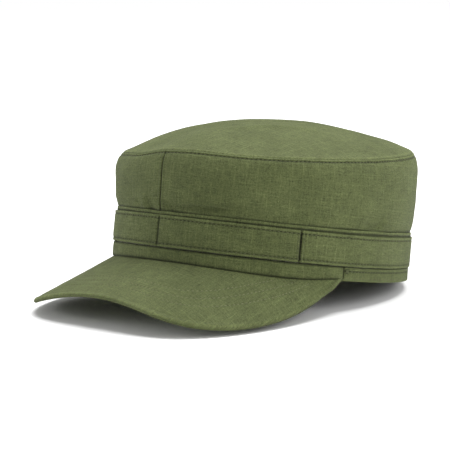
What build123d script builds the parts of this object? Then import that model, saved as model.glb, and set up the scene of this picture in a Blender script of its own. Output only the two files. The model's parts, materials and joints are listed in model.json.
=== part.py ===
from build123d import *
from math import cos, pi, radians, sin, sqrt, tan
import os

# Military peaked field cap, millimetres.
# Working frame: the hem plane is z = 0, the bill points to -Y, +X is the
# wearer's left. The finished cap is tilted back at the end, so that it
# rests on its rear hem and on the two corners of the bill.

# ---- head size and rings ------------------------------------------------
HEM_X = 91.0            # half width of the hem, outer face of the cloth
HEM_Y = 103.0           # half length of the hem, outer face of the cloth
EDGE_SAG = 2.0          # how much lower every edge runs at the sides
TILT = 9.2              # the cap leans back by this angle when it rests

# Rings are given as (inner, outer) distance from the hem's outer face.
BAND_FACE = (-0.9, 0.5)
BAND_BACKING = (-2.0, -1.1)
HEADBAND = (-3.4, -2.2)
SWEATBAND = (-4.4, -3.6)
SIZE_LABEL = (-4.9, -4.5)
HEM = (-1.9, 0.0)
THREAD = 0.36           # how far a row of stitches stands off the cloth

HEM_TOP = 8.6
BAND_LOW, BAND_TOP = 8.9, 28.2
LIP_TOP = 30.5          # the backing shows as a narrow lip above the band
HEADBAND_LOW, HEADBAND_TOP = 3.0, 28.0
SWEATBAND_LOW, SWEATBAND_TOP = 1.5, 28.0
ROW_FROM_EDGE = 2.0     # stitch rows run this far inside an edge
LAP_ANGLE = 55.5        # side seams of the band, from centre front
BILL_ANGLE = 74.0       # where the bill ends along the hem

# ---- crown --------------------------------------------------------------
WALL_LOW = 28.4
CLOTH = 1.2             # wall and top cloth with its fusing
SEAM_TILT = 5.5         # the top seam drops towards the front
SEAM_Y, SEAM_Z = -3.1, 75.2
DOME_HEIGHT = 20.0
# wall sections: height, tilt, centre y, half width, half length
WALL_SECTIONS = [
    (18.0, 0.0, 0.0, 88.4, 100.4),
    (28.0, 0.0, 0.0, 88.4, 100.4),
    (40.0, 1.2, -0.5, 90.0, 101.6),
    (56.0, 3.2, -1.6, 92.2, 102.6),
    (67.0, 4.7, -2.5, 92.5, 102.2),
    (SEAM_Z, SEAM_TILT, SEAM_Y, 90.5, 99.5),
    (82.0, 6.2, -3.6, 87.5, 96.5),
]
TAPE = (-1.8, -1.3)     # seam tapes, from the wall's outer face
FRONT_TAPE = (-2.5, -2.0)
INTERLINING = (-1.9, -1.3)
INTERLINING_ANGLE = 50.0

# ---- bill ---------------------------------------------------------------
BILL_SLOPE = 23.2       # drop of the centre line towards the front
BILL_LENGTH = 50.0      # in front of the hem, seen from above
BILL_HALF_WIDTH = 92.4
BILL_SQUARENESS = 4.5   # exponent of the outline across the bill
BILL_ARCH = (110.6, 83.5)   # half axes of the ellipse it is curved to
BILL_THICK = 2.8
BILL_COVER = 0.6
BILL_RIM = 1.3          # the top cover is wrapped round the board
BILL_ROOT = -3.0        # inner edge, from the hem's outer face
BILL_ROWS = (14.1, 20.0, 26.0)
ROW_STITCHES = 12       # sectors of 15 degrees round the front half of the cap
STITCH_GAP = 0.3        # degrees between two stitches of a row
BILL_GAP = 0.35         # clearance between the bill and the hem welt

FAR = 400.0


def ring(layer, z_low, z_high):
    """Upright elliptical ring between two distances from the hem face."""
    outer = Ellipse(HEM_X + layer[1], HEM_Y + layer[1])
    inner = Ellipse(HEM_X + layer[0], HEM_Y + layer[0])
    return Pos(0, 0, z_low) * extrude(outer - inner, z_high - z_low)


def arched_slab(z_low, z_high):
    """All space between two heights, lower by EDGE_SAG at the sides."""
    x = 120.0
    drop = EDGE_SAG * (x / HEM_X) ** 2
    low = ThreePointArc((-x, z_low - drop), (0, z_low), (x, z_low - drop))
    high = ThreePointArc((x, z_high - drop), (0, z_high), (-x, z_high - drop))
    sides = [Line(low @ 1, high @ 0), Line(high @ 1, low @ 0)]
    face = make_face(Curve() + [low, high] + sides)
    return extrude(Plane.XZ * face, FAR / 2, both=True)


def band(layer, z_low, z_high):
    """Ring whose two edges follow the sagging line of the hem."""
    return arched_slab(z_low, z_high) & ring(layer, z_low - 8, z_high + 2)


def sector(start, end):
    """Upright wedge between two angles from centre front, towards +X."""
    steps = max(2, int((end - start) / 40) + 1)
    points = [(0, 0)]
    for i in range(steps + 1):
        a = radians(start + (end - start) * i / steps)
        points.append((3 * HEM_X * sin(a), -3 * HEM_Y * cos(a)))
    face = make_face(Polyline(*points, close=True))
    return Pos(0, 0, -FAR / 2) * extrude(face, FAR)


def crown_body(offset):
    """Solid inside of the crown wall, grown or shrunk by offset."""
    faces = []
    for height, tilt, y, half_width, half_length in WALL_SECTIONS:
        plane = Pos(0, y, height) * Rot(tilt, 0, 0)
        faces.append(plane * Ellipse(half_width + offset, half_length + offset))
    return loft(faces)


def crown_shell(layer):
    """Barrel-shaped ring between two distances from the wall's face."""
    return crown_body(layer[1]) - crown_body(layer[0])


def seam_slab(below, above):
    """Space between two distances under the tilted top seam."""
    box = Box(FAR, FAR, above - below, align=(Align.CENTER, Align.CENTER, Align.MIN))
    return Pos(0, SEAM_Y, SEAM_Z) * Rot(SEAM_TILT, 0, 0) * Pos(0, 0, below) * box


def upright(x_low, x_high, y_low, y_high, z_low, z_high):
    size = (x_high - x_low, y_high - y_low, z_high - z_low)
    return Pos(x_low, y_low, z_low) * Box(*size, align=(Align.MIN, Align.MIN, Align.MIN))


def dome_body(half_width, half_length, height):
    """Ellipsoid cap standing on the plane z = 0."""
    radius = (100.0 ** 2 + height ** 2) / (2 * height)
    cap = Pos(0, 0, height - radius) * Sphere(radius)
    cap = cap & upright(-FAR, FAR, -FAR, FAR, 0, FAR)
    return scale(cap, by=(half_width / 100.0, half_length / 100.0, 1.0))


def bill_section(offset):
    """Points of the bill's arch in x and z, moved out along the normal."""
    half_x, half_z = BILL_ARCH
    points = []
    for i in range(-12, 13):
        a = radians(72.0 * i / 12)
        normal = (sin(a) / half_x, cos(a) / half_z)
        length = sqrt(normal[0] ** 2 + normal[1] ** 2)
        x = half_x * sin(a) + offset * normal[0] / length
        z = half_z * (cos(a) - 1) + offset * normal[1] / length
        points.append((x, z))
    return points


def bill_layer(low, high):
    """Curved plate between two distances from the bill's top surface."""
    upper = Spline(*bill_section(high))
    lower = Spline(*bill_section(low))
    ends = [Line(upper @ 0, lower @ 0), Line(upper @ 1, lower @ 1)]
    face = Plane.XZ * make_face(Curve() + [upper, lower] + ends)
    slope = tan(radians(BILL_SLOPE))
    start = Pos(0, -HEM_Y + 130, 130 * slope) * face
    return extrude(start, 250, dir=Vector(0, -1, -slope))


def bill_plan(inset):
    """Upright prism over the bill's outline, moved in by inset."""
    root_x = HEM_X * sin(radians(BILL_ANGLE))
    root_y = -HEM_Y * cos(radians(BILL_ANGLE))
    length = HEM_Y + BILL_LENGTH + root_y - inset
    points = []
    count = 20
    for i in range(-count, count + 1):
        share = abs(i) / count
        side = 1 if i > 0 else -1
        t = pi / 2 * share ** (BILL_SQUARENESS / 2.5)
        x = (BILL_HALF_WIDTH - inset) * sin(t) ** (2 / BILL_SQUARENESS)
        blend = sin(t) ** 8
        x = x * (1 - blend) + (root_x - 0.6 * inset) * blend
        points.append((side * x, root_y - length * cos(t)))
    edge = Spline(*points)
    face = make_face(Curve() + [edge, Line(edge @ 1, edge @ 0)])
    prism = Pos(0, 0, -FAR / 2) * extrude(face, FAR)
    root = Ellipse(HEM_X + BILL_ROOT, HEM_Y + BILL_ROOT)
    return prism - Pos(0, 0, -FAR / 2) * extrude(root, FAR)


def bill_rows(low, high):
    """Three rows of long stitches parallel to the bill's edge."""
    layer = bill_layer(low, high)
    hem = Pos(0, 0, -FAR / 2) * extrude(Ellipse(HEM_X + 2.5, HEM_Y + 2.5), FAR)
    step = 180.0 / ROW_STITCHES
    rows = Part()
    for inset in BILL_ROWS:
        row = layer & (bill_plan(inset - 0.2) - bill_plan(inset + 0.2) - hem)
        for i in range(ROW_STITCHES):
            start = -90.0 + step * i
            rows += row & sector(start, start + step - STITCH_GAP)
    return rows


def hem_welt():
    """Rolled front edge of the hem, standing on the root of the bill."""
    z_low = -9.0
    tube = ring(HEM, z_low, HEM_TOP) & arched_slab(z_low, HEM_TOP)
    soft = [edge for edge in tube.edges() if edge.center().Z > HEM_TOP - 4]
    tube = fillet(soft, 0.6)
    tube = tube & sector(-BILL_ANGLE + 0.3, BILL_ANGLE - 0.3)
    return tube - bill_layer(-30, BILL_GAP)


def hem_rear():
    tube = band(HEM, 0.0, HEM_TOP)
    return tube & sector(BILL_ANGLE, 360 - BILL_ANGLE)


wall = crown_shell((-CLOTH, 0.0))
wall = wall & upright(-FAR, FAR, -FAR, FAR, WALL_LOW, FAR) & seam_slab(-FAR, 0)
wall_left = wall & upright(0.05, FAR, -FAR, FAR, 0, FAR)
wall_right = wall & upright(-FAR, -0.05, -FAR, FAR, 0, FAR)

dome = dome_body(90.5, 99.5, DOME_HEIGHT)
dome -= dome_body(90.5 - CLOTH, 99.5 - CLOTH, DOME_HEIGHT - CLOTH)
crown_top = Pos(0, SEAM_Y, SEAM_Z) * Rot(SEAM_TILT, 0, 0) * dome

inner_zone = upright(-FAR, FAR, -FAR, FAR, WALL_LOW + 1.0, FAR) & seam_slab(-FAR, -8.6)
seam_tape = crown_shell(TAPE) & seam_slab(-8.0, -0.4)
front_zone = inner_zone & sector(-INTERLINING_ANGLE, INTERLINING_ANGLE)
interlining = crown_shell(INTERLINING) & front_zone
front_tape = crown_shell(FRONT_TAPE) & inner_zone & upright(-5, 5, -FAR, 0, 0, FAR)
back_tape = crown_shell(TAPE) & inner_zone & upright(-5, 5, 0, FAR, 0, FAR)

face_ring = band(BAND_FACE, BAND_LOW, BAND_TOP)
band_left = face_ring & sector(0.03, LAP_ANGLE - 0.03)
band_right = face_ring & sector(-LAP_ANGLE + 0.03, -0.03)
band_rear = face_ring & sector(LAP_ANGLE + 0.03, 360 - LAP_ANGLE - 0.03)

thread_layer = (BAND_FACE[1], BAND_FACE[1] + THREAD)
row_top = BAND_TOP - ROW_FROM_EDGE
row_low = BAND_LOW + ROW_FROM_EDGE
whole_turn = sector(0.1, 359.9)
top_thread = band(thread_layer, row_top - 0.4, row_top) & whole_turn
low_thread = band(thread_layer, row_low, row_low + 0.4) & whole_turn
lap_threads = Part()
for side in (-1, 1):
    for turn in (1.2, 3.4):
        angle = side * (LAP_ANGLE + turn)
        row = band(thread_layer, row_low + 0.6, row_top - 0.6)
        lap_threads += row & sector(angle - 0.12, angle + 0.12)

hem_thread_layer = (HEM[1], HEM[1] + THREAD)
hem_thread = band(hem_thread_layer, 5.8, 6.2) & sector(BILL_ANGLE + 2.4, 360 - BILL_ANGLE - 2.4)
bar_tacks = Part()
for side in (-1, 1):
    angle = side * (BILL_ANGLE + 1.3)
    bar_tacks += band((HEM[1], HEM[1] + 0.5), 4.4, 7.6) & sector(angle - 0.6, angle + 0.6)

wall_thread = crown_shell((0.0, THREAD))
seam_row = wall_thread & seam_slab(-2.4, -2.0)
seam_zone = upright(-FAR, FAR, -FAR, FAR, LIP_TOP + 0.6, FAR) & seam_slab(-FAR, -2.8)
front_rows = Part()
back_rows = Part()
for x in (-2.0, 2.0):
    front_rows += wall_thread & seam_zone & upright(x - 0.2, x + 0.2, -FAR, 0, 0, FAR)
    back_rows += wall_thread & seam_zone & upright(x - 0.2, x + 0.2, 0, FAR, 0, FAR)

plan = bill_plan(0.0)
plan_core = bill_plan(BILL_RIM)
board = bill_layer(-BILL_THICK + BILL_COVER, -BILL_COVER) & plan_core
bottom_cover = bill_layer(-BILL_THICK, -BILL_THICK + BILL_COVER) & plan_core
top_cover = bill_layer(-BILL_COVER, 0.0) & plan
top_cover += bill_layer(-BILL_THICK, -BILL_COVER) & (plan - plan_core)

nodes = {
    "crown_top": crown_top,
    "side_panel_left": wall_left,
    "side_panel_right": wall_right,
    "crown_seam_tape": seam_tape,
    "front_interlining": interlining,
    "front_seam_tape": front_tape,
    "back_seam_tape": back_tape,
    "headband": ring(HEADBAND, HEADBAND_LOW, HEADBAND_TOP),
    "band_backing": band(BAND_BACKING, BAND_LOW + 0.4, LIP_TOP),
    "band_front_left": band_left,
    "band_front_right": band_right,
    "band_rear": band_rear,
    "hem_welt_front": hem_welt(),
    "hem_rear": hem_rear(),
    "sweatband": ring(SWEATBAND, SWEATBAND_LOW, SWEATBAND_TOP),
    "size_label": ring(SIZE_LABEL, 9.0, 27.0) & upright(-14, 14, 0, FAR, 0, FAR),
    "crown_seam_thread": seam_row,
    "front_seam_threads": front_rows,
    "back_seam_threads": back_rows,
    "band_top_thread": top_thread,
    "band_bottom_thread": low_thread,
    "band_lap_threads": lap_threads,
    "hem_thread": hem_thread,
    "bar_tacks": bar_tacks,
    "bill_top_cover": top_cover,
    "bill_board": board,
    "bill_bottom_cover": bottom_cover,
    "bill_top_threads": bill_rows(0.0, THREAD),
    "bill_bottom_threads": bill_rows(-BILL_THICK - THREAD, -BILL_THICK),
}

# Lean the cap back and put the origin at the bottom centre of its box.
leaned = {name: Rot(-TILT, 0, 0) * solid for name, solid in nodes.items()}
everything = Compound(children=[Compound(list(solid.solids())) for solid in leaned.values()])
box = everything.bounding_box()
to_floor = Pos(-(box.min.X + box.max.X) / 2, -(box.min.Y + box.max.Y) / 2, -box.min.Z)
print("floor shift", to_floor.position)

os.makedirs("parts", exist_ok=True)
for name, solid in leaned.items():
    placed = to_floor * solid
    solids = placed.solids()
    out = solids[0] if len(solids) == 1 else Compound(list(solids))
    export_step(out, f"parts/{name}.step")
    size = out.bounding_box().size
    print(f"{name:22s} {len(solids):3d} solids {out.volume:9.1f} mm3 {size.X:6.1f} {size.Y:6.1f} {size.Z:6.1f}")
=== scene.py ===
import json
import math

import bpy
import numpy as np
from mathutils import Matrix, Vector

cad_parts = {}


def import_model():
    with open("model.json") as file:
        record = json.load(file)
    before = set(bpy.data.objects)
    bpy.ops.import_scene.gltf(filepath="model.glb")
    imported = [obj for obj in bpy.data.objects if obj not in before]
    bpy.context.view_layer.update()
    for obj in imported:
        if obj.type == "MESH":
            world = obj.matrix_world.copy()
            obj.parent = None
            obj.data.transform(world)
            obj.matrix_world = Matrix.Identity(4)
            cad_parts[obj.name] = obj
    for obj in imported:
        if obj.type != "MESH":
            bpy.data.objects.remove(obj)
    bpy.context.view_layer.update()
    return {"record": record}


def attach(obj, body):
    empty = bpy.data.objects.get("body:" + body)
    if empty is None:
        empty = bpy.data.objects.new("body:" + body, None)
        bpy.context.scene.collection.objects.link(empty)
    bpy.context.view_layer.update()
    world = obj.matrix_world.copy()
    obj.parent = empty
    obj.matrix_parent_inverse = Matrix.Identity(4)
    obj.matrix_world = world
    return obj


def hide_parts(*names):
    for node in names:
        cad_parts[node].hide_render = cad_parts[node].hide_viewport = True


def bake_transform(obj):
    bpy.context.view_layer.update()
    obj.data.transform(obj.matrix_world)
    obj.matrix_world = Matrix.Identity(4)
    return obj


# Looks of the peaked field cap, built in the cap's own frame around the packed
# CAD part. Every CAD node is replaced by one piece of cloth, board or thread.
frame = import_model()

# ---- the cap's own frame -------------------------------------------------
# Millimetres, hem plane z = 0, bill towards -Y. The head opening mount of the
# record says where that frame sits in the world and how far it leans back.
OPENING = next(m for m in frame["record"]["mounts"] if m["name"] == "head_opening")
ORIGIN = np.array(OPENING["pos_m"])
UP = -np.array(OPENING["axis"])
UP /= np.linalg.norm(UP)
AXES = np.stack([np.array([1.0, 0.0, 0.0]), np.cross(UP, [1.0, 0.0, 0.0]), UP])


def world(points):
    """Points of the cap's frame in mm, as world metres."""
    return ORIGIN + np.asarray(points, float) / 1000.0 @ AXES


# ---- driving dimensions, as in the CAD source, mm ------------------------
HEM_X, HEM_Y = 91.0, 103.0
EDGE_SAG = 2.0
HEM_TOP = 8.6
HEM_ROW = 6.0
BAND_LOW, BAND_TOP, LIP_TOP = 8.9, 28.2, 30.5
ROW_FROM_EDGE = 2.0
LAP_ANGLE, BILL_ANGLE = 55.5, 74.0
SEAM_Z, SEAM_Y, SEAM_TILT = 76.5, -3.1, 5.5
SEAM_ROW = 1.8
DOME_HEIGHT = 18.2
DOME_X, DOME_Y = 89.6, 98.6
CLOTH = 1.1
BILL_SLOPE = math.tan(math.radians(23.2))
BILL_LENGTH, BILL_HALF_WIDTH, BILL_SQUARENESS = 50.0, 92.4, 4.5
BILL_ARCH_X, BILL_ARCH_Z = 110.6, 83.5
BILL_THICK, BILL_COVER = 2.8, 0.6
BILL_FLARE = 1.3
BILL_ROOT = -2.7
BILL_ROWS = (14.1, 20.0, 26.0)
STITCH_PITCH = 2.7

# wall sections: height, tilt, centre y, half width, half length
WALL = np.array([
    (26.0, 0.0, 0.0, 88.3, 100.3),
    (29.0, 0.2, -0.1, 88.8, 100.8),
    (32.0, 0.4, -0.2, 90.2, 102.2),
    (36.0, 0.8, -0.3, 91.4, 103.1),
    (44.0, 1.8, -0.8, 92.4, 103.2),
    (54.0, 3.0, -1.5, 93.2, 103.0),
    (62.0, 4.1, -2.1, 93.6, 102.8),
    (69.0, 4.9, -2.6, 93.2, 102.0),
    (74.0, 5.3, -2.9, 91.5, 100.4),
    (SEAM_Z, SEAM_TILT, SEAM_Y, 89.6, 98.6),
])


# ---- small numeric helpers -----------------------------------------------
def bump(x, width):
    return np.exp(-(x / width) ** 2)


def smooth(x, low, high):
    t = np.clip((x - low) / (high - low), 0.0, 1.0)
    return t * t * (3 - 2 * t)


LATTICE = np.random.RandomState(11).rand(64, 64, 64)


def noise(points, size, shift=0.0):
    """Smooth noise from -1 to 1 with features of about size mm."""
    p = np.asarray(points, float) / size + 17.3 + shift
    i = np.floor(p).astype(int)
    f = p - i
    f = f * f * (3 - 2 * f)
    total = 0.0
    for dx in (0, 1):
        for dy in (0, 1):
            for dz in (0, 1):
                w = (f[..., 0] if dx else 1 - f[..., 0])
                w = w * (f[..., 1] if dy else 1 - f[..., 1])
                w = w * (f[..., 2] if dz else 1 - f[..., 2])
                corner = ((i[..., 0] + dx) % 64, (i[..., 1] + dy) % 64, (i[..., 2] + dz) % 64)
                total = total + w * LATTICE[corner]
    return 2 * total - 1


def spline(x, xs, ys):
    """Smooth curve through the table (xs, ys)."""
    slope = np.gradient(ys, xs)
    k = np.clip(np.searchsorted(xs, x, side="right") - 1, 0, len(xs) - 2)
    h = xs[k + 1] - xs[k]
    t = np.clip((x - xs[k]) / h, 0.0, 1.0)
    start = (2 * t**3 - 3 * t**2 + 1) * ys[k] + (t**3 - 2 * t**2 + t) * slope[k] * h
    return start + (3 * t**2 - 2 * t**3) * ys[k + 1] + (t**3 - t**2) * slope[k + 1] * h


TURN = np.linspace(-2 * math.pi, 2 * math.pi, 4001)
ARC_RATE = np.hypot(HEM_X * np.cos(TURN[1:]), HEM_Y * np.sin(TURN[1:]))
ARC = np.concatenate([[0], np.cumsum(ARC_RATE * np.diff(TURN))])
ARC -= np.interp(0.0, TURN, ARC)


def arc_of(phi):
    """Distance along the hem from centre front, mm."""
    return np.interp(phi, TURN, ARC)


def phi_at(arc):
    return np.interp(arc, ARC, TURN)


ARC_HALF = float(arc_of(math.pi))


def half_turn(phi):
    """The same angle between minus and plus half a turn."""
    return np.mod(phi + math.pi, 2 * math.pi) - math.pi


def outward(phi):
    """Level unit normal of the hem's ellipse."""
    out = np.stack([np.sin(phi) / HEM_X, -np.cos(phi) / HEM_Y, 0 * phi], -1)
    return out / np.linalg.norm(out, axis=-1, keepdims=True)


def flat_place(along, up):
    """Place on unrolled cloth, as points for the noise."""
    return np.stack([along, up, 0 * along], -1)


def ring_point(phi, offset, z):
    """Point of a ring that runs parallel to the hem's outer face."""
    x = (HEM_X + offset) * np.sin(phi)
    y = -(HEM_Y + offset) * np.cos(phi)
    return np.stack([x, y, z - EDGE_SAG * np.sin(phi) ** 2 + 0 * x], -1)


# ---- mesh helpers ----------------------------------------------------------
def make_mesh(name, points, faces, cloth, wear_and_shading, material, slot, body="crown"):
    """One piece, in the place of the CAD node called name.

    cloth is its place on the unrolled cloth in mm; the next argument is above 0 where an
    edge is rubbed and where a painted highlight lies, and below 0 where painted shade lies in grooves,
    folds, gaps and at stitch ends.
    """
    mesh = bpy.data.meshes.new(name)
    mesh.from_pydata(world(points).tolist(), [], faces)
    mesh.polygons.foreach_set("use_smooth", [True] * len(mesh.polygons))
    attribute = mesh.attributes.new("cloth", "FLOAT_VECTOR", "POINT")
    attribute.data.foreach_set("vector", np.asarray(cloth, np.float32).ravel())
    attribute = mesh.attributes.new("wear_and_shading", "FLOAT", "POINT")
    attribute.data.foreach_set("value", np.asarray(wear_and_shading, np.float32).ravel())
    mesh.update()
    ending = "_stitches" if slot == "thread" else "_cloth"
    obj = bpy.data.objects.new(name + ending, mesh)
    bpy.context.scene.collection.objects.link(obj)
    mesh.materials.append(material)
    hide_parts(name)
    if body == "bill":
        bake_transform(obj)
    else:
        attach(obj, body)


def grid_faces(rows, cols, close_rows=False, close_cols=False):
    faces = []
    for i in range(rows if close_rows else rows - 1):
        a, b = i * cols, ((i + 1) % rows) * cols
        for j in range(cols if close_cols else cols - 1):
            k = (j + 1) % cols
            faces.append((a + j, b + j, b + k, a + k))
    return faces


def sweep(name, loops, cloth, wear_and_shading, material, slot, body="crown", full=False):
    """Closed body swept along rows of closed loops, capped at both ends."""
    rows, cols = loops.shape[:2]
    faces = grid_faces(rows, cols, close_rows=full, close_cols=True)
    if not full:
        faces.append(tuple(range(cols)))
        faces.append(tuple(reversed(range((rows - 1) * cols, rows * cols))))
    cloth = np.concatenate([cloth, np.zeros(cloth.shape[:2] + (1,))], -1)
    make_mesh(name, loops.reshape(-1, 3), faces, cloth.reshape(-1, 3), wear_and_shading.reshape(-1),
              material, slot, body)


def shell(name, outer, normals, thickness, cloth, wear_and_shading, material, slot):
    """Sheet of cloth: a grid of points with a second face one thickness behind it."""
    inner = outer - normals * thickness
    loops = np.concatenate([outer, inner[:, ::-1]], 1)
    cloth2 = np.concatenate([cloth, cloth[:, ::-1]], 1)
    # the inner face gets neither rubbed edges nor painted shade
    wear_and_shading_both_faces = np.concatenate([wear_and_shading, 0 * wear_and_shading], 1)
    sweep(name, loops, cloth2, wear_and_shading_both_faces, material, slot)


def stitches(name, rows, material, body="crown", length=2.1, radius=0.23, pitch=STITCH_PITCH):
    """Separate stitches along rows of (path points, normals), each sunk in at its ends."""
    along = np.array([-1.0, -0.82, -0.45, 0.0, 0.45, 0.82, 1.0])
    lift = np.array([-0.55, -0.1, 0.35, 0.5, 0.35, -0.1, -0.55])
    girth = np.array([0.35, 0.8, 1.0, 1.0, 1.0, 0.8, 0.35])
    sides = 6
    angle = np.arange(sides) * 2 * math.pi / sides
    points, faces, cloth, wear_and_shading = [], [], [], []
    base = 0
    rng = np.random.RandomState(len(name) * 7 + 3)
    for path, normal in rows:
        step = np.linalg.norm(np.diff(path, axis=0), axis=1)
        run = np.concatenate([[0], np.cumsum(step)])
        count = int(run[-1] / pitch)
        for k in range(count):
            s = (k + 0.5 + rng.uniform(-0.04, 0.04)) * run[-1] / count
            at = [np.interp(s, run, path[:, c]) for c in range(3)]
            ahead = [np.interp(s + 0.6, run, path[:, c]) for c in range(3)]
            back = [np.interp(s - 0.6, run, path[:, c]) for c in range(3)]
            n = np.array([np.interp(s, run, normal[:, c]) for c in range(3)])
            n /= np.linalg.norm(n)
            t = np.array(ahead) - np.array(back)
            t /= np.linalg.norm(t)
            b = np.cross(n, t)
            slant = rng.uniform(0.02, 0.10)
            half = length / 2 * rng.uniform(0.92, 1.05)
            for q in range(len(along)):
                place = along[q] * half
                centre = np.array(at) + t * place + b * place * slant + n * lift[q] * radius
                r = radius * girth[q]
                ring = centre + r * (np.cos(angle)[:, None] * b + 0.85 * np.sin(angle)[:, None] * n)
                points.append(ring)
                cloth.append(np.stack([np.full(sides, s + place), angle, np.full(sides, k * 3.7)], -1))
                # painted shade: each stitch gets darker towards its ends, where it dives into its hole
                wear_and_shading.append(np.full(sides, -abs(along[q]) ** 3))
            for q in range(len(along) - 1):
                a, c = base + q * sides, base + (q + 1) * sides
                for j in range(sides):
                    m = (j + 1) % sides
                    faces.append((a + j, a + m, c + m, c + j))
            faces.append(tuple(base + j for j in reversed(range(sides))))
            faces.append(tuple(base + (len(along) - 1) * sides + j for j in range(sides)))
            base += len(along) * sides
    make_mesh(name, np.concatenate(points), faces, np.concatenate(cloth), np.concatenate(wear_and_shading),
              material, "thread", body)


# ---- materials -------------------------------------------------------------
class Graph:
    """Short way to write a material's node tree."""

    def __init__(self, name):
        self.material = bpy.data.materials.new(name)
        self.material.use_nodes = True
        self.tree = self.material.node_tree
        self.shader = self.tree.nodes["Principled BSDF"]

    def link(self, value, socket):
        if isinstance(value, bpy.types.NodeSocket):
            self.tree.links.new(value, socket)
        else:
            socket.default_value = value

    def math(self, operation, a, b=0.0):
        node = self.tree.nodes.new("ShaderNodeMath")
        node.operation = operation
        self.link(a, node.inputs[0])
        self.link(b, node.inputs[1])
        return node.outputs[0]

    def add(self, a, b):
        return self.math("ADD", a, b)

    def times(self, a, b):
        return self.math("MULTIPLY", a, b)

    def minus(self, a, b):
        return self.math("SUBTRACT", a, b)

    def split(self, vector):
        node = self.tree.nodes.new("ShaderNodeSeparateXYZ")
        self.link(vector, node.inputs[0])
        return node.outputs[0], node.outputs[1]

    def attribute(self, name, output):
        node = self.tree.nodes.new("ShaderNodeAttribute")
        node.attribute_name = name
        return node.outputs[output]

    def noise(self, vector, scale, detail=2.0, roughness=0.5):
        node = self.tree.nodes.new("ShaderNodeTexNoise")
        self.link(vector, node.inputs["Vector"])
        node.inputs["Scale"].default_value = scale
        node.inputs["Detail"].default_value = detail
        node.inputs["Roughness"].default_value = roughness
        return node.outputs["Fac"]

    def stretch(self, vector, x, y, z=1.0):
        node = self.tree.nodes.new("ShaderNodeVectorMath")
        node.operation = "MULTIPLY"
        self.link(vector, node.inputs[0])
        node.inputs[1].default_value = (x, y, z)
        return node.outputs[0]

    def ramp(self, value, low, high, to_low=0.0, to_high=1.0):
        node = self.tree.nodes.new("ShaderNodeMapRange")
        node.interpolation_type = "SMOOTHSTEP"
        self.link(value, node.inputs["Value"])
        for key, number in (("From Min", low), ("From Max", high), ("To Min", to_low), ("To Max", to_high)):
            node.inputs[key].default_value = number
        return node.outputs["Result"]

    def mix(self, factor, a, b):
        node = self.tree.nodes.new("ShaderNodeMix")
        node.data_type = "RGBA"
        self.link(factor, node.inputs["Factor"])
        self.link(a, node.inputs[6])
        self.link(b, node.inputs[7])
        return node.outputs[2]

    def scaled(self, colour, factor):
        node = self.tree.nodes.new("ShaderNodeVectorMath")
        node.operation = "SCALE"
        self.link(colour, node.inputs[0])
        self.link(factor, node.inputs["Scale"])
        return node.outputs[0]

    def bump(self, height, distance, strength):
        node = self.tree.nodes.new("ShaderNodeBump")
        self.link(height, node.inputs["Height"])
        node.inputs["Distance"].default_value = distance
        node.inputs["Strength"].default_value = strength
        self.link(node.outputs["Normal"], self.shader.inputs["Normal"])

    def finish(self, colour, roughness, sheen, specular):
        self.link(colour, self.shader.inputs["Base Color"])
        self.link(roughness, self.shader.inputs["Roughness"])
        self.shader.inputs["Sheen Weight"].default_value = sheen
        self.shader.inputs["Sheen Roughness"].default_value = 0.45
        self.shader.inputs["Specular IOR Level"].default_value = specular
        return self.material


# how much rubbed edges and painted highlights lighten the cloth, and how much painted shade darkens it
EDGE_LIGHTER, SHADE_DARKER = 0.22, 0.68
WEAVE_RELIEF = 0.0004       # metres


def ripstop_lines(g, place, pitch):
    """Thin lighter lines both ways, uneven and fading out in patches."""
    patch = g.ramp(g.noise(place, 0.09, 2.0), 0.38, 0.62, 0.15, 1.0)
    wobble = g.times(g.minus(g.noise(place, 0.25, 1.0), 0.5), 0.16)
    lines = []
    for axis in g.split(place):
        cell = g.math("FRACT", g.add(g.math("DIVIDE", axis, pitch), wobble))
        lines.append(g.ramp(g.math("ABSOLUTE", g.minus(cell, 0.5)), 0.44, 0.485))
    return g.times(g.math("MAXIMUM", *lines), patch)


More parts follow.
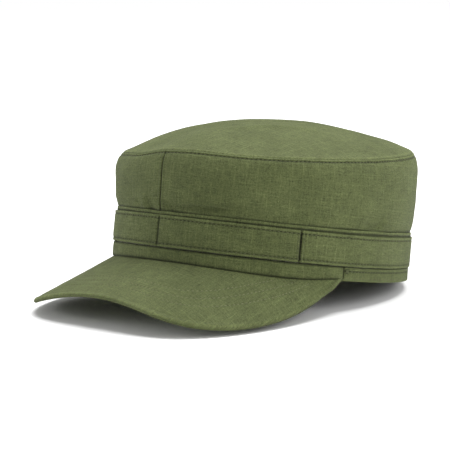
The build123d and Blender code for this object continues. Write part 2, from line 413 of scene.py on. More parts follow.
def woven(name, light, dark, pitch, ripstop=0.0, roughness=0.9):
    """Woven cloth: twill diagonals, slubby threads both ways, an optional ripstop grid."""
    g = Graph(name)
    place = g.attribute("cloth", "Vector")
    wear_and_shading = g.attribute("wear_and_shading", "Fac")
    x, y = g.split(place)
    diagonal = g.math("SINE", g.times(g.add(x, y), 2 * math.pi / pitch))
    warp = g.noise(g.stretch(place, 2.2, 0.22), 1.0, 2.0, 0.6)
    weft = g.noise(g.stretch(place, 0.22, 2.2), 1.0, 2.0, 0.6)
    slub = g.add(g.times(warp, 0.5), g.times(weft, 0.5))
    thick_warp = g.noise(g.stretch(place, 0.85, 0.10), 1.0, 2.0, 0.6)
    thick_weft = g.noise(g.stretch(place, 0.10, 0.85), 1.0, 2.0, 0.6)
    yarn = g.minus(g.add(thick_warp, thick_weft), 1.0)
    fine = g.noise(place, 1.5, 3.0, 0.75)
    grit = g.minus(g.noise(place, 0.75, 2.0, 0.6), 0.5)
    middle = g.noise(place, 0.14, 2.0)
    broad = g.noise(place, 0.03, 2.0)
    height = g.add(g.times(diagonal, 0.30), g.add(slub, g.times(fine, 0.7)))
    tone = g.add(g.times(g.minus(slub, 0.5), 1.3), g.times(diagonal, 0.08))
    tone = g.add(tone, g.times(g.minus(fine, 0.5), 1.5))
    tone = g.add(tone, g.times(g.minus(middle, 0.5), 0.30))
    tone = g.add(tone, g.add(g.times(yarn, 0.7), grit))
    if ripstop:
        lines = ripstop_lines(g, place, ripstop)
        height = g.add(height, g.times(lines, 0.5))
        tone = g.add(tone, g.times(lines, 0.26))
    # above 0 the attribute lightens the cloth for rubbed edges and painted highlights; below 0 it darkens
    # it as painted shade
    lit_and_worn = g.ramp(wear_and_shading, 0.0, 1.0)
    shaded = g.ramp(g.times(wear_and_shading, -1.0), 0.0, 1.0)
    factor = g.times(g.add(1.0, tone), g.add(1.0, g.times(lit_and_worn, EDGE_LIGHTER)))
    factor = g.times(factor, g.minus(1.0, g.times(shaded, SHADE_DARKER)))
    base = g.mix(g.ramp(broad, 0.35, 0.65), (*dark, 1.0), (*light, 1.0))
    g.bump(height, WEAVE_RELIEF, 0.8)
    return g.finish(g.scaled(base, factor), roughness, 0.03, 0.22)


def thread_material(name, colour):
    """Twisted sewing thread, with painted shade where a stitch dives into the cloth."""
    g = Graph(name)
    place = g.attribute("cloth", "Vector")
    wear_and_shading = g.attribute("wear_and_shading", "Fac")
    along, around = g.split(place)
    ply = g.math("SINE", g.add(g.times(along, 9.0), g.times(around, 2.0)))
    fuzz = g.noise(place, 1.7, 3.0, 0.7)
    factor = g.add(g.times(ply, 0.12), g.add(0.75, g.times(fuzz, 0.5)))
    # painted shade towards each stitch's ends
    factor = g.times(factor, g.add(1.0, g.times(wear_and_shading, 0.9)))
    g.bump(ply, 0.00005, 0.6)
    return g.finish(g.scaled(colour, factor), 0.7, 0.0, 0.2)


def board_material():
    """Pale pressed plastic board inside the bill."""
    g = Graph("bill_board")
    place = g.attribute("cloth", "Vector")
    grain = g.noise(place, 0.4, 4.0, 0.7)
    g.bump(grain, 0.0001, 0.3)
    shade = g.add(0.9, g.times(grain, 0.2))
    return g.finish(g.scaled((0.72, 0.72, 0.68), shade), 0.5, 0.0, 0.4)


OLIVE_LIGHT, OLIVE_DARK = (0.099, 0.118, 0.043), (0.085, 0.102, 0.036)
ripstop = woven("ripstop", OLIVE_LIGHT, OLIVE_DARK, 0.62, ripstop=6.8)
tape_cloth = woven("tape", (0.075, 0.088, 0.044), (0.063, 0.075, 0.037), 0.9, roughness=0.85)
canvas = woven("interlining", (0.56, 0.54, 0.46), (0.50, 0.48, 0.41), 1.1, roughness=0.95)
sweat_cloth = woven("sweatband", (0.085, 0.098, 0.048), (0.072, 0.086, 0.042), 0.8, roughness=0.92)
label_cloth = woven("label", (0.70, 0.69, 0.64), (0.64, 0.63, 0.58), 0.5, roughness=0.6)
thread = thread_material("thread", (0.096, 0.108, 0.048))
# paler copy of the thread for the bill: a painted glint on the bill's stitches
glint_painted_thread = thread_material("bill_thread", (0.185, 0.200, 0.100))
board = board_material()


# ---- crown wall --------------------------------------------------------------
def seam_dip(phi):
    """How much higher or lower the soft top seam lies round the cap, mm."""
    turn = half_turn(phi)
    slack = 3.1 * smooth(-turn, 0.0, 0.34) + 1.5 * smooth(-turn, 0.3, 0.8)
    return -slack * smooth(turn, -2.4, -1.0) + 1.4 * bump(turn - 0.2, 0.28) + 0.5 * bump(turn - 2.1, 0.6)


def wall_base(phi, height):
    """Undisturbed wall surface at a height given on the cap's axis."""
    tilt = np.radians(spline(height, WALL[:, 0], WALL[:, 1]))
    centre = spline(height, WALL[:, 0], WALL[:, 2])
    a = spline(height, WALL[:, 0], WALL[:, 3])
    b = spline(height, WALL[:, 0], WALL[:, 4])
    x = a * np.sin(phi)
    y = -b * np.cos(phi)
    sag = EDGE_SAG * np.sin(phi) ** 2
    dip = seam_dip(phi) * smooth(height, 36.0, SEAM_Z)
    return np.stack([x, centre + y * np.cos(tilt), height + y * np.sin(tilt) - sag + dip], -1)


# folds of the wall: centre along the hem, half length, height above the lip,
# climb, half height, how far it stands out
FOLDS = [
    (-9.0, 4.0, 3.0, 0.0, 6.0, -1.6),
    (-15.0, 3.0, 5.0, 0.0, 7.0, 0.8),
    (34.0, 17.0, 7.0, 0.05, 1.6, -1.3),
    (34.0, 17.0, 10.5, 0.0, 2.2, 0.8),
]
LIP_LEVEL = 30.0


def wall_relief(phi, height):
    """How far the wall's cloth stands out: seams, puckers and soft folds."""
    p = wall_base(phi, height)
    below = SEAM_Z - height
    above = height - LIP_LEVEL
    s = arc_of(phi)
    free = smooth(below, 1.0, 14.0) * smooth(above, 0.0, 10.0)
    out = 0.9 * noise(p, 34.0) * free + 0.38 * noise(p, 13.0, 5.0) * free
    out = out + 0.32 * np.abs(noise(flat_place(s, below * 0.35), 5.5, 2.0)) * bump(below - 3.6, 3.2)
    out = out + 0.30 * bump(below - 0.9, 0.6) - 0.34 * bump(below - SEAM_ROW, 0.5) - 0.75 * bump(below, 0.5)
    gather = noise(flat_place(s, above * 1.6), 15.0, 9.0)
    out = out - 1.7 * smooth(gather, -0.1, 0.6) * bump(above - 4.5, 5.5)
    for place, reach, rise, climb, spread, deep in FOLDS:
        level = above - rise - climb * (s - place)
        out = out + deep * bump(s - place, reach) * bump(level, spread)
    for seam in (0.0, ARC_HALF, -ARC_HALF):
        d = s - seam
        out = out - 0.55 * bump(d, 0.45) + 0.16 * bump(np.abs(d) - 1.3, 0.8)
        out = out - 0.18 * bump(np.abs(d) - 2.2, 0.4)
        out = out + 0.22 * noise(np.stack([d * 0.2, height, 0 * d + seam], -1), 4.0, 3.0) * bump(d, 3.5)
    return out


def wall_surface(phi, height):
    """Points of the wall with all its relief, and the direction it faces."""
    base = wall_base(phi, height)
    lean = 0.45 * smooth(height, SEAM_Z - 7.0, SEAM_Z)
    out = outward(phi) + np.stack([0 * lean, 0 * lean, lean], -1)
    out = out / np.linalg.norm(out, axis=-1, keepdims=True)
    return base + out * wall_relief(phi, height)[..., None], out


# grid lines kept close together by the seams, mm from the seam
NEAR_SIDE_SEAM = np.array([0.0, 0.15, 0.4, 0.8, 1.2, 1.6, 2.0, 2.5, 3.1, 4.0])
NEAR_TOP_SEAM = [0.0, 0.25, 0.5, 0.8, 1.1, 1.4, 1.6, 1.8, 2.0, 2.3, 2.8, 3.6, 4.6, 5.6, 6.8]


def wall_side(name, side):
    """Half of the wall, from the centre-front seam to the centre-back seam."""
    middle = np.linspace(5.2, ARC_HALF - 5.2, 240)
    s = np.concatenate([NEAR_SIDE_SEAM, middle, ARC_HALF - NEAR_SIDE_SEAM[::-1]])
    below = np.concatenate([NEAR_TOP_SEAM, np.linspace(8.2, SEAM_Z - 27.0, 34)])
    phi = phi_at(s) * side
    grid_phi, grid_h = np.meshgrid(phi, SEAM_Z - below, indexing="ij")
    points, out = wall_surface(grid_phi, grid_h)
    cloth = np.stack([arc_of(grid_phi), grid_h + 0.06 * np.abs(arc_of(grid_phi))], -1)
    # lighter along the rubbed ridge under the top seam; painted shade in the seam grooves, behind the lip
    # and in the hollows of the folds
    wear_and_shading = 0.9 * bump(SEAM_Z - grid_h - 0.8, 0.6) - 1.1 * bump(SEAM_Z - grid_h - SEAM_ROW, 0.55)
    wear_and_shading = wear_and_shading - 0.9 * bump(np.abs(arc_of(grid_phi)), 0.6) - 1.0 * smooth(33.2 - grid_h, 0.0, 2.2)
    wear_and_shading = wear_and_shading - 0.36 * smooth(-wall_relief(grid_phi, grid_h), 0.3, 2.0)
    if side > 0:
        points, out, cloth, wear_and_shading = points[:, ::-1], out[:, ::-1], cloth[:, ::-1], wear_and_shading[:, ::-1]
    shell(name, points, out, CLOTH, cloth, wear_and_shading, ripstop, "ripstop")


wall_side("side_panel_left", 1)
wall_side("side_panel_right", -1)


# ---- domed top -----------------------------------------------------------------
# soft creases of the top: centre x and y, direction, half length, half width, height
CREASES = [
    (22.0, -30.0, 0.95, 30.0, 4.5, 0.95),
    (8.0, -12.0, 1.05, 26.0, 3.6, -0.75),
    (-30.0, -42.0, 0.30, 26.0, 5.0, 0.65),
    (40.0, 20.0, 1.40, 30.0, 5.0, 0.65),
    (-20.0, 40.0, 0.60, 34.0, 6.0, 0.40),
]


def creases(x, y):
    """Height of the soft creases at a place on the top."""
    total = 0 * x
    for cx, cy, angle, long, wide, deep in CREASES:
        u = (x - cx) * math.cos(angle) + (y - cy) * math.sin(angle)
        v = -(x - cx) * math.sin(angle) + (y - cy) * math.cos(angle) + 0.004 * u * u
        total = total + deep * bump(u, long) * bump(v, wide)
    return total


def dome_plan(r, phi):
    return DOME_X * r * np.sin(phi), -DOME_Y * r * np.cos(phi)


def dome_surface(r, phi):
    """Top of the crown at a share r of the way from its middle to the seam."""
    x, y = dome_plan(r, phi)
    flat = np.stack([x, y, 0 * x], -1)
    edge = (1 - r) * (DOME_X + DOME_Y) / 2
    z = DOME_HEIGHT * (1 - r**2) - 1.3 * (r**2 - r**8)
    z = z + 1.7 * bump(r - 0.84, 0.16) * bump(half_turn(phi - 2.2), 0.8)
    z = z + 2.6 * bump(r - 0.76, 0.22) * bump(half_turn(phi + 0.95), 0.9)
    fade = smooth(edge, 1.0, 16.0)
    z = z + 0.75 * noise(flat, 38.0, 3.0) * fade + 0.22 * noise(flat, 14.0, 7.0) * fade
    z = z + creases(x, y)
    s = arc_of(phi)
    z = z + 0.28 * np.abs(noise(flat_place(s, edge * 0.3), 6.5, 12.0)) * bump(edge - 2.6, 3.0)
    z = z - 0.55 * bump(edge, 0.7)
    z = z - EDGE_SAG * np.sin(phi) ** 2 * smooth(r, 0.3, 1.0)
    tilt = math.radians(SEAM_TILT)
    back = SEAM_Y + y * math.cos(tilt) - z * math.sin(tilt)
    top = SEAM_Z + y * math.sin(tilt) + z * math.cos(tilt) + seam_dip(phi) * smooth(r, 0.3, 1.0)
    return np.stack([x, back, top], -1)


def crown_top():
    """Domed sheet of cloth with a rim down to the seam."""
    near = [0.0, 0.2, 0.45, 0.7, 1.0, 1.4, 1.9, 2.5, 3.2, 4.2]
    edge = np.concatenate([near, np.linspace(5.5, 94.6, 62)])
    r = 1 - edge / 94.9
    s = np.linspace(-ARC_HALF, ARC_HALF, 420, endpoint=False)
    grid_phi, grid_r = np.meshgrid(phi_at(s), r, indexing="ij")
    outer = dome_surface(grid_r, grid_phi)
    inner = outer - np.array([0, 0, CLOTH])
    tall, cols = outer.shape[:2]
    points = np.concatenate([outer.reshape(-1, 3), inner.reshape(-1, 3)])
    upper = grid_faces(tall, cols, close_rows=True)
    shift = tall * cols
    faces = upper + [tuple(v + shift for v in reversed(f)) for f in upper]
    for i in range(tall):
        k = (i + 1) % tall
        faces.append((i * cols, i * cols + shift, k * cols + shift, k * cols))
    faces.append(tuple(i * cols + cols - 1 for i in range(tall)))
    faces.append(tuple(i * cols + cols - 1 + shift for i in reversed(range(tall))))
    cloth = np.concatenate([points[:, :2], 0 * points[:, :1]], 1)
    # lighter on the rubbed rim, painted shade right at the seam, and painted highlight and shade on the
    # soft creases
    wear_and_shading = np.broadcast_to(0.8 * bump(edge - 1.4, 1.0) - 0.6 * bump(edge, 0.5), outer.shape[:2])
    wear_and_shading = wear_and_shading + 0.45 * creases(*dome_plan(grid_r, grid_phi))
    wear_and_shading = np.concatenate([wear_and_shading.ravel(), 0 * wear_and_shading.ravel()])
    make_mesh("crown_top", points, faces, cloth, wear_and_shading, ripstop, "ripstop")


crown_top()


# ---- band, lip and hem ---------------------------------------------------------
def rounded_profile(low, high, back, front, radius, count=26):
    """Closed loop of (offset, z) round a strip: up the front face, down the back."""
    face = np.linspace(low + radius, high - radius, count)
    turn = np.linspace(0, math.pi / 2, 5)[1:-1]
    flat = front - radius
    top = [(flat + radius * math.cos(t), high - radius + radius * math.sin(t)) for t in turn]
    bottom = [(flat + radius * math.sin(t), low + radius - radius * math.cos(t)) for t in turn]
    rear = [(flat, high), (back, high), (back, low), (flat, low)]
    return np.array([(front, z) for z in face] + top + rear + bottom)


def strip(name, start, end, profile, relief, material=ripstop, slot="ripstop",
          sink=0.0, step=1.25, full=False, wear_and_shading_at=()):
    """Strip of cloth running round the cap between two distances along the hem.

    The list of marks holds (height, half height, amount): above 0 a lighter rubbed edge, below 0 painted
    shade in a groove or gap; sink draws in the two ends, which also get painted shade.
    """
    near = np.array([0.0, 0.3, 0.7, 1.2, 1.8, 2.4])
    count = max(4, int((end - start - 6) / step))
    if full:
        s = np.linspace(start, end, count, endpoint=False)
    else:
        s = np.concatenate([start + near, np.linspace(start + 3, end - 3, count), end - near[::-1]])
    offset, z = profile[:, 0], profile[:, 1]
    grid_s, grid_o = np.meshgrid(s, offset, indexing="ij")
    grid_z = np.broadcast_to(z, grid_s.shape)
    phi = phi_at(grid_s)
    ends = np.minimum(grid_s - start, end - grid_s)
    outer_share = smooth(grid_o, offset.min(), offset.max())
    tuck = 0 if full else -sink * bump(ends, 1.0) * outer_share
    o = grid_o + relief(phi, grid_z) * outer_share + tuck
    loops = ring_point(phi, o, grid_z)
    cloth = np.stack([grid_s, grid_z + 0.1 * grid_o], -1)
    wear_and_shading = np.zeros_like(grid_s)
    for level, width, amount in wear_and_shading_at:
        wear_and_shading = wear_and_shading + amount * bump(grid_z - level, width) * outer_share
    if not full:
        # painted shade where the two ends tuck in
        wear_and_shading = wear_and_shading - 1.0 * bump(ends, 0.7) * outer_share
    sweep(name, loops, cloth, wear_and_shading, material, slot, full=full)


LAP = float(arc_of(math.radians(LAP_ANGLE)))
BILL_END = float(arc_of(math.radians(BILL_ANGLE)))
ROW_TOP, ROW_LOW = BAND_TOP - ROW_FROM_EDGE, BAND_LOW + ROW_FROM_EDGE


def band_relief(phi, z):
    """How far the band's face stands out: grooves, puckers and laps."""
    s = arc_of(phi)
    flat = flat_place(s, z)
    out = 0.30 * noise(flat, 30.0, 4.0) * smooth(z, BAND_LOW, BAND_LOW + 4) + 0.12 * noise(flat, 8.0, 6.0)
    out = out - 0.40 * bump(z - ROW_TOP, 0.5) - 0.36 * bump(z - ROW_LOW, 0.5)
    ripple = noise(flat_place(s, z * 0.25), 3.6, 8.0)
    out = out + 0.26 * ripple * (bump(z - ROW_TOP, 2.2) + bump(z - ROW_LOW, 2.2))
    for lap in (LAP, -LAP):
        d = (s - lap) * np.sign(lap)
        out = out + 0.46 * smooth(d, 0.0, 0.4) * smooth(1.9 - d, 0.0, 0.5) - 0.40 * bump(d - 2.6, 0.45)
        out = out - 0.45 * bump(d, 0.5) + 0.12 * bump(d + 1.4, 0.8)
        out = out + 0.15 * noise(flat_place(d * 0.3, z), 3.0) * bump(d - 2.4, 2.5)
    return out


def wrapped_band_relief(phi, z):
    return band_relief(np.where(phi > math.pi, phi - 2 * math.pi, phi), z)


def band_piece(name, start, end, relief):
    profile = rounded_profile(BAND_LOW, BAND_TOP, -0.9, 0.5, 0.55, 34)
    # rubbed edges are lighter; the grooves of the stitch rows get painted shade
    edges = [(BAND_TOP - 0.5, 0.6, 0.9), (BAND_LOW + 0.5, 0.6, 0.8)]
    grooves = [(ROW_TOP, 0.5, -1.0), (ROW_LOW, 0.5, -0.9)]
    strip(name, start, end, profile, relief, sink=0.5, wear_and_shading_at=edges + grooves)


band_piece("band_front_left", 0.08, LAP - 0.12, band_relief)
band_piece("band_front_right", -LAP + 0.12, -0.08, band_relief)
band_piece("band_rear", LAP + 0.12, 2 * ARC_HALF - LAP - 0.12, wrapped_band_relief)


def lip_relief(phi, z):
    flat = flat_place(arc_of(phi), z * 0.5)
    wave = 0.30 * noise(flat, 9.0, 1.0) + 0.12 * noise(flat, 3.0, 1.0)
    return wave * smooth(z, BAND_TOP - 2, BAND_TOP + 1)


def lip_strip():
    """Backing of the band, whose wavy top edge shows as a lip."""
    profile = rounded_profile(BAND_LOW + 0.6, LIP_TOP, -2.0, -1.0, 0.45, 14)
    s = np.linspace(-ARC_HALF, ARC_HALF, 480, endpoint=False)
    grid_s, grid_o = np.meshgrid(s, profile[:, 0], indexing="ij")
    grid_z = np.broadcast_to(profile[:, 1], grid_s.shape)
    phi = phi_at(grid_s)
    top = smooth(grid_z, BAND_TOP - 3, BAND_TOP)
    o = grid_o + (0.45 + lip_relief(phi, grid_z)) * top
    wave = 0.22 * noise(flat_place(grid_s, 0 * o), 8.0, 2.0)
    z = grid_z + top * (0.9 * np.sin(phi) ** 2 + wave)
    cloth = np.stack([grid_s, grid_z], -1)
    # lighter along the lip's top; painted shade where it meets the band's top edge
    wear_and_shading = 1.3 * bump(grid_z - LIP_TOP, 0.9) - 1.2 * bump(grid_z - BAND_TOP - 0.1, 0.55)
    sweep("band_backing", ring_point(phi, o, z), cloth, wear_and_shading, ripstop, "ripstop", full=True)


lip_strip()


def arch_cosine(x):
    """Cosine of the ellipse angle of the bill's arch at x."""
    return np.sqrt(np.clip(1 - (x / BILL_ARCH_X) ** 2, 1e-6, 1))


def bill_z(x, y):
    """Height of the bill's top surface."""
    return BILL_SLOPE * (y + HEM_Y) - BILL_ARCH_Z * (1 - arch_cosine(x))


def hem_welt():
    """Smooth rolled strip that stands on the root of the bill."""
    s = np.linspace(-BILL_END + 0.6, BILL_END - 0.6, 260)
    phi = phi_at(s)
    x, y = HEM_X * np.sin(phi), -HEM_Y * np.cos(phi)
    low = bill_z(x, y) + EDGE_SAG * np.sin(phi) ** 2 + 0.45
    low = np.minimum(low, 0.4)
    turn = np.linspace(0, 2 * math.pi, 40, endpoint=False)
    c, d = np.cos(turn), np.sin(turn)
    across = np.sign(c) * np.abs(c) ** 0.75
    rise = np.sign(d) * np.abs(d) ** 0.6
    mid, half = (HEM_TOP + low) / 2, (HEM_TOP - low) / 2
    z = mid[:, None] + half[:, None] * rise
    grid_s = s[:, None] + 0 * z
    ends = np.minimum(s - s[0], s[-1] - s)[:, None]
    close = 1 - 0.5 * bump(ends, 1.5)
    wave = 0.16 * noise(flat_place(grid_s, z), 7.0, 3.0) * (across > 0)
    o = -0.95 + (1.05 * across + wave) * close
    cloth = np.stack([grid_s, z + 20 * (across < 0)], -1)
    # painted shade along the top and bottom, in the gaps under the band and above the bill; a lighter band
    # along its front
    shade = 0.9 * bump(rise - 1, 0.25) + 0.9 * bump(rise + 1, 0.3)
    wear_and_shading = 0.5 * bump(rise + 0.2, 0.35) * (across > 0) - shade + 0 * z
    sweep("hem_welt_front", ring_point(phi[:, None] + 0 * z, o, z), cloth, wear_and_shading, ripstop, "ripstop")


hem_welt()


def hem_relief(phi, z):
    flat = flat_place(arc_of(phi), z)
    pucker = 0.12 * noise(flat, 3.4, 4.0) * bump(z - 5.5, 2.5)
    return 0.22 * noise(flat, 16.0, 2.0) - 0.22 * bump(z - HEM_ROW, 0.5) + pucker


# lighter rubbed bottom edge; painted shade in the stitch groove and along the top under the band
strip("hem_rear", BILL_END - 0.4, 2 * ARC_HALF - BILL_END + 0.4,
      rounded_profile(0.0, HEM_TOP, -1.9, -0.05, 0.7, 18), hem_relief,
      sink=0.3, wear_and_shading_at=[(0.4, 0.7, 0.9), (HEM_ROW, 0.5, -1.0), (8.4, 0.5, -0.6)])


# ---- inside: sweatband, canvas, tapes, label ---------------------------------
def no_relief(phi, z):
    return 0 * phi


def inner_ring(name, profile, material, slot):
    strip(name, -ARC_HALF, ARC_HALF, profile, no_relief, material, slot, full=True, step=1.6)


def sweatband_profile():
    """Band on the head, with a foot turned out under the canvas to the hem."""
    face = [(-3.6, z) for z in np.linspace(3.2, 27.6, 16)]
    foot = [(-4.5, 1.5), (-2.0, 1.5), (-2.0, 2.85), (-3.6, 2.85)]
    return np.array(face + [(-3.75, 27.9), (-4.0, 28.0), (-4.5, 28.0)] + foot)


inner_ring("headband", rounded_profile(3.0, 28.0, -3.3, -2.3, 0.3, 16), canvas, "interlining")
inner_ring("sweatband", sweatband_profile(), sweat_cloth, "sweatband")


def lining_patch(name, s_low, s_high, h_low, h_high, depth, thick, material, slot):
    """Flat piece lying behind the wall, between two arcs and two heights."""
    across = np.linspace(s_low, s_high, max(6, int((s_high - s_low) / 2)))
    s, h = np.meshgrid(across, np.linspace(h_high, h_low, 24), indexing="ij")
    wall, out = wall_surface(phi_at(s), h)
    points = wall - out * depth
    cloth = np.stack([s, h], -1)[:, ::-1]
    shell(name, points[:, ::-1], out[:, ::-1], thick, cloth, 0 * s, material, slot)


def tape(name, s_low, s_high, h_low, h_high, depth):
    lining_patch(name, s_low, s_high, h_low, h_high, depth, 0.45, tape_cloth, "tape")


FRONT_REACH = float(arc_of(math.radians(50)))
LINING_LOW, LINING_TOP = 30.0, SEAM_Z - 9.0
lining_patch("front_interlining", -FRONT_REACH, FRONT_REACH, LINING_LOW, LINING_TOP, 2.6, 0.5,
             canvas, "interlining")
tape("front_seam_tape", -5.0, 5.0, LINING_LOW, LINING_TOP, 3.3)
tape("back_seam_tape", ARC_HALF - 5.0, ARC_HALF + 5.0, LINING_LOW, LINING_TOP, 2.6)
tape("crown_seam_tape", -ARC_HALF, ARC_HALF, SEAM_Z - 8.0, SEAM_Z - 1.4, 2.1)


def size_label():
    profile = rounded_profile(9.0, 27.0, -5.0, -4.6, 0.15, 16)
    strip("size_label", ARC_HALF - 14, ARC_HALF + 14, profile, no_relief, label_cloth, "label", step=1.0)


size_label()


# ---- bill ---------------------------------------------------------------------
def bill_outline(s, inset):
    """Plan of the bill's edge for s from -1 to 1, moved in by inset."""
    root_x = HEM_X * math.sin(math.radians(BILL_ANGLE))
    root_y = -HEM_Y * math.cos(math.radians(BILL_ANGLE))
    length = HEM_Y + BILL_LENGTH + root_y - inset
    t = math.pi / 2 * np.abs(s) ** (BILL_SQUARENESS / 2.5)
    x = (BILL_HALF_WIDTH - inset) * np.sin(t) ** (2 / BILL_SQUARENESS)
    blend = np.sin(t) ** 8
    x = x * (1 - blend) + (root_x - 0.6 * inset) * blend
    x = x + BILL_FLARE * smooth(t, 0.95, 1.36) * (1 - smooth(t, 1.48, 1.57))
    return np.sign(s) * x, root_y - length * np.cos(t)


def bill_normal(x, y):
    fall = BILL_ARCH_Z * x / (BILL_ARCH_X**2 * arch_cosine(x))
    n = np.stack([fall, -BILL_SLOPE + 0 * x, 1 + 0 * x], -1)
    return n / np.linalg.norm(n, axis=-1, keepdims=True)


def bill_reach(s):
    """Inset at which a line from the edge arrives at the hidden root."""
    low, high = np.zeros_like(s), np.full_like(s, 60.0)
    for _ in range(40):
        mid = (low + high) / 2
        x, y = bill_outline(s, mid)
        outside = (x / (HEM_X + BILL_ROOT)) ** 2 + (y / (HEM_Y + BILL_ROOT)) ** 2 > 1
        low, high = np.where(outside, mid, low), np.where(outside, high, mid)
    return low


def bill_relief(x, y, inset, side):
    """How far the cover stands out; side is 1 on top and -1 underneath."""
    flat = np.stack([x, y, 0 * x + 40 * side], -1)
    out = 0.35 * noise(flat, 42.0, 8.0) + 0.10 * noise(flat, 12.0, 2.0)
    for row in BILL_ROWS:
        out = out - 0.13 * bump(inset - row, 0.6)
        out = out + 0.07 * noise(flat, 3.5, row) * bump(inset - row, 2.5)
    out = out + 0.16 * bump(inset - 1.6, 1.2) - 0.14 * bump(inset - 3.6, 0.9)
    return out * smooth(inset, 0.3, 2.0)


def bill_point(s, inset, depth, side):
    x, y = bill_outline(s, inset)
    n = bill_normal(x, y)
    p = np.stack([x, y, bill_z(x, y)], -1)
    push = bill_relief(x, y, inset, side) * side
    return p + n * (push - depth)[..., None]


SIDE_STEPS = np.linspace(-1, 1, 281)
SIDE_STEPS = np.sign(SIDE_STEPS) * np.abs(SIDE_STEPS) ** 1.15
EDGE_R = BILL_THICK / 2


def bill_path(reach, inner):
    """(inset, depth, side) along the top cover from the root, round the edge, to its fold."""
    skin = BILL_COVER if inner else 0.0
    r = EDGE_R - skin
    share = np.linspace(1, 0, 96) ** 1.15
    top = [(EDGE_R + (reach - EDGE_R) * v, skin + 0 * reach, 1) for v in share]
    turn = np.linspace(0, math.pi, 11)[1:]
    rim = []
    for t in turn:
        inset, depth = EDGE_R - r * math.sin(t), EDGE_R - r * math.cos(t)
        rim.append((inset + 0 * reach, depth + 0 * reach, 1 if t < 1.6 else -1))
    under = np.linspace(EDGE_R, 3.0, 4)[1:]
    fold = [(np.minimum(v, reach), BILL_THICK - skin + 0 * reach, -1) for v in under]
    return top + rim + fold


def bill_loops(paths):
    """Closed loops across the bill, with their cloth and wear."""
    reach = bill_reach(SIDE_STEPS)
    columns, flat, wear_and_shading = [], [], []
    for inset, depth, side in paths(reach):
        inset = np.broadcast_to(inset, SIDE_STEPS.shape)
        columns.append(bill_point(SIDE_STEPS, inset, np.broadcast_to(depth, inset.shape), side))
        x, y = bill_outline(SIDE_STEPS, inset)
        flat.append(np.stack([x * 1.12, y * 1.05 + 3 * depth], -1))
        rows = sum(bump(inset - row, 0.5) for row in BILL_ROWS)
        # lighter at the rolled edge, from rubbing and from a painted highlight; painted shade in the
        # grooves of the stitch rows
        wear_and_shading.append(0.8 * bump(inset - 1.0, 1.3) - 0.25 * rows)
    return np.stack(columns, 1), np.stack(flat, 1), np.stack(wear_and_shading, 1)


def top_cover_paths(reach):
    return bill_path(reach, False) + bill_path(reach, True)[::-1]


def plate_paths(upper, lower, rim, upper_side=-1, lower_side=-1, short=0.0):
    """Plate between two depths, from short of the root to rim mm inside the edge."""
    def paths(root):
        reach = np.maximum(root - short, 0.5 * root)
        share = np.linspace(1, 0, 90)
        rim_at = np.minimum(rim, reach * 0.8)
        top = [(rim_at + (reach - rim_at) * v, upper + 0 * reach, upper_side) for v in share]
        low = [(rim_at + (reach - rim_at) * v, lower + 0 * reach, lower_side) for v in share[::-1]]
        return top + low
    return paths


def bill_piece(name, paths, material, slot):
    loops, flat, wear_and_shading = bill_loops(paths)
    sweep(name, loops[:, ::-1], flat[:, ::-1], wear_and_shading[:, ::-1], material, slot, body="bill")


bill_piece("bill_top_cover", top_cover_paths, ripstop, "ripstop")
bill_piece("bill_bottom_cover", plate_paths(BILL_THICK - 0.65, BILL_THICK - 0.05, 2.7), ripstop, "ripstop")
bill_piece("bill_board", plate_paths(0.75, BILL_THICK - 0.75, 2.4, 1, -1, short=2.0), board, "board")


# ---- rows of stitches ----------------------------------------------------------
def ring_row(start, end, offset, z, relief):
    """Path and normals of a row that runs round the cap."""
    s = np.linspace(start, end, int((end - start) / 0.8))
    phi = phi_at(s)
    zz = np.full_like(s, z)
    inner = np.where(phi > math.pi, phi - 2 * math.pi, phi)
    return ring_point(phi, offset + relief(inner, zz), zz), outward(phi)


def upright_row(s, low, high, offset, relief):
    """Path and normals of a row that runs up the band or hem."""
    z = np.linspace(low, high, 30)
    phi = phi_at(np.full_like(z, s))
    return ring_point(phi, offset + relief(phi, z), z), outward(phi)


def bill_row(row, side):
    s = np.linspace(-1, 1, 600)
    depth = np.full_like(s, 0.0 if side > 0 else BILL_THICK)
    path = bill_point(s, np.full_like(s, row), depth, side)
    x, y = path[:, 0], path[:, 1]
    shown = (x / (HEM_X + 1.2)) ** 2 + (y / (HEM_Y + 1.2)) ** 2 > 1
    return path[shown], bill_normal(x, y)[shown] * side


stitches("band_top_thread", [ring_row(-ARC_HALF, ARC_HALF, 0.5, ROW_TOP, band_relief)], thread)
stitches("band_bottom_thread", [ring_row(-ARC_HALF, ARC_HALF, 0.5, ROW_LOW, band_relief)], thread)
hem_row = ring_row(BILL_END + 5, 2 * ARC_HALF - BILL_END - 5, -0.05, HEM_ROW, hem_relief)
stitches("hem_thread", [hem_row], thread)
lap_rows = []
for side in (1, -1):
    for d in (2.6, -1.9):
        lap_rows.append(upright_row(side * (LAP + d), ROW_LOW + 0.8, ROW_TOP - 0.8, 0.5, band_relief))
stitches("band_lap_threads", lap_rows, thread)
around = np.linspace(-ARC_HALF, ARC_HALF, 900)
seam_row = wall_surface(phi_at(around), np.full_like(around, SEAM_Z - SEAM_ROW))
stitches("crown_seam_thread", [seam_row], thread)
heights = np.linspace(LIP_TOP + 1.5, SEAM_Z - 3.5, 60)
for name, seam in (("front_seam_threads", 0.0), ("back_seam_threads", ARC_HALF)):
    rows = [wall_surface(phi_at(np.full_like(heights, seam + d)), heights) for d in (-2.2, 2.2)]
    stitches(name, rows, thread, length=1.9, radius=0.17)
tack_rows = []
for side in (1, -1):
    for k in range(5):
        tack_rows.append(upright_row(side * (BILL_END + 1.2 + 0.42 * k), 4.2, 7.6, 0.15, no_relief))
stitches("bar_tacks", tack_rows, thread, length=3.0, pitch=3.3)
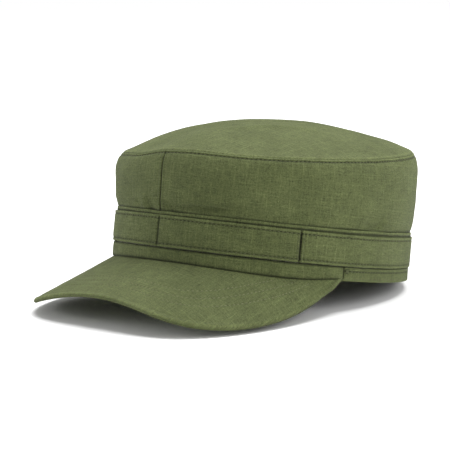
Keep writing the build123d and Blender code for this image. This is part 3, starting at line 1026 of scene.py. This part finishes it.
# the bill's stitches use the paler thread with its painted glint
for name, side in (("bill_top_threads", 1), ("bill_bottom_threads", -1)):
    rows = [bill_row(row, side) for row in BILL_ROWS]
    stitches(name, rows, glint_painted_thread, body="bill", radius=0.22)


# ---- floor, light, camera -------------------------------------------------------
CAP_MIDDLE = (0.0, 0.0, 0.05)
SKY_LIGHT, SKY_SEEN = 0.42, 1.05


def floor():
    """Plain white floor with a painted glow that grows away from the cap, so that it fades to pure white.
    """
    mesh = bpy.data.meshes.new("floor")
    half, level = 6.0, -0.0004
    corners = [(-half, -half, level), (half, -half, level), (half, half, level), (-half, half, level)]
    mesh.from_pydata(corners, [], [(0, 1, 2, 3)])
    obj = bpy.data.objects.new("floor", mesh)
    bpy.context.scene.collection.objects.link(obj)
    g = Graph("floor")
    place = g.tree.nodes.new("ShaderNodeTexCoord").outputs["Object"]
    length = g.tree.nodes.new("ShaderNodeVectorMath")
    length.operation = "LENGTH"
    g.link(place, length.inputs[0])
    g.shader.inputs["Emission Color"].default_value = (1.0, 1.0, 1.0, 1.0)
    # painted glow: emission rises with the distance from the cap
    g.link(g.ramp(length.outputs["Value"], 0.25, 1.3, 0.0, 0.6), g.shader.inputs["Emission Strength"])
    mesh.materials.append(g.finish((0.95, 0.95, 0.95, 1.0), 0.9, 0.0, 0.2))


def area_light(name, position, size, energy):
    """Soft box turned towards the cap."""
    data = bpy.data.lights.new(name, "AREA")
    data.shape, data.size, data.size_y = "RECTANGLE", size[0], size[1]
    data.energy = energy
    obj = bpy.data.objects.new(name, data)
    bpy.context.scene.collection.objects.link(obj)
    obj.location = position
    obj.rotation_euler = (Vector(CAP_MIDDLE) - Vector(position)).to_track_quat("-Z", "Y").to_euler()


floor()
area_light("overhead", (0.0, 0.28, 1.4), (1.2, 1.2), 32.0)
area_light("front_left", (-1.5, -0.9, 0.4), (0.9, 0.7), 14.0)
area_light("rear_right", (1.3, 0.5, 0.7), (0.8, 1.0), 12.5)

sky = bpy.data.worlds.new("studio")
sky.use_nodes = True
backdrop = sky.node_tree.nodes["Background"]
backdrop.inputs[0].default_value = (1.0, 1.0, 1.0, 1.0)
seen = sky.node_tree.nodes.new("ShaderNodeLightPath")
level = sky.node_tree.nodes.new("ShaderNodeMapRange")
level.inputs["To Min"].default_value = SKY_LIGHT
level.inputs["To Max"].default_value = SKY_SEEN
sky.node_tree.links.new(seen.outputs["Is Camera Ray"], level.inputs["Value"])
sky.node_tree.links.new(level.outputs["Result"], backdrop.inputs[1])
bpy.context.scene.world = sky
bpy.context.scene.view_settings.view_transform = "Standard"

CAMERA_AZIMUTH, CAMERA_LIFT, CAMERA_ROLL = 38.57, 0.88, 5.31
CAMERA_DISTANCE, FRAME_WIDTH = 1200.0, 450.0
PIXELS_PER_MM = 1.54
TARGET = np.array([0.0, 0.0, 35.0])
LEFT_OF_TARGET, BELOW_TARGET = 26.8, 9.05


def camera():
    """Camera in the cap's frame: looks past the cap so that it sits where it does in the frame."""
    a, e, r = (math.radians(v) for v in (CAMERA_AZIMUTH, CAMERA_LIFT, CAMERA_ROLL))
    back = np.array([math.sin(a) * math.cos(e), -math.cos(a) * math.cos(e), math.sin(e)])
    right = np.array([math.cos(a), math.sin(a), 0.0])
    up = np.cross(back, right)
    right, up = right * math.cos(r) + up * math.sin(r), up * math.cos(r) - right * math.sin(r)
    eye = TARGET + back * CAMERA_DISTANCE
    aim = TARGET - right * LEFT_OF_TARGET - up * BELOW_TARGET
    back = (eye - aim) / np.linalg.norm(eye - aim)
    right = np.cross(up, back)
    right /= np.linalg.norm(right)
    up = np.cross(back, right)
    data = bpy.data.cameras.new("camera")
    data.sensor_width = 36.0
    data.lens = 36.0 * PIXELS_PER_MM * CAMERA_DISTANCE / FRAME_WIDTH
    data.clip_start, data.clip_end = 0.05, 20.0
    obj = bpy.data.objects.new("camera", data)
    bpy.context.scene.collection.objects.link(obj)
    x, y, z = (v @ AXES for v in (right, up, back))
    matrix = Matrix.Identity(4)
    for row in range(3):
        matrix[row][0], matrix[row][1], matrix[row][2] = x[row], y[row], z[row]
        matrix[row][3] = world(eye)[row]
    obj.matrix_world = matrix
    bpy.context.scene.camera = obj


camera()
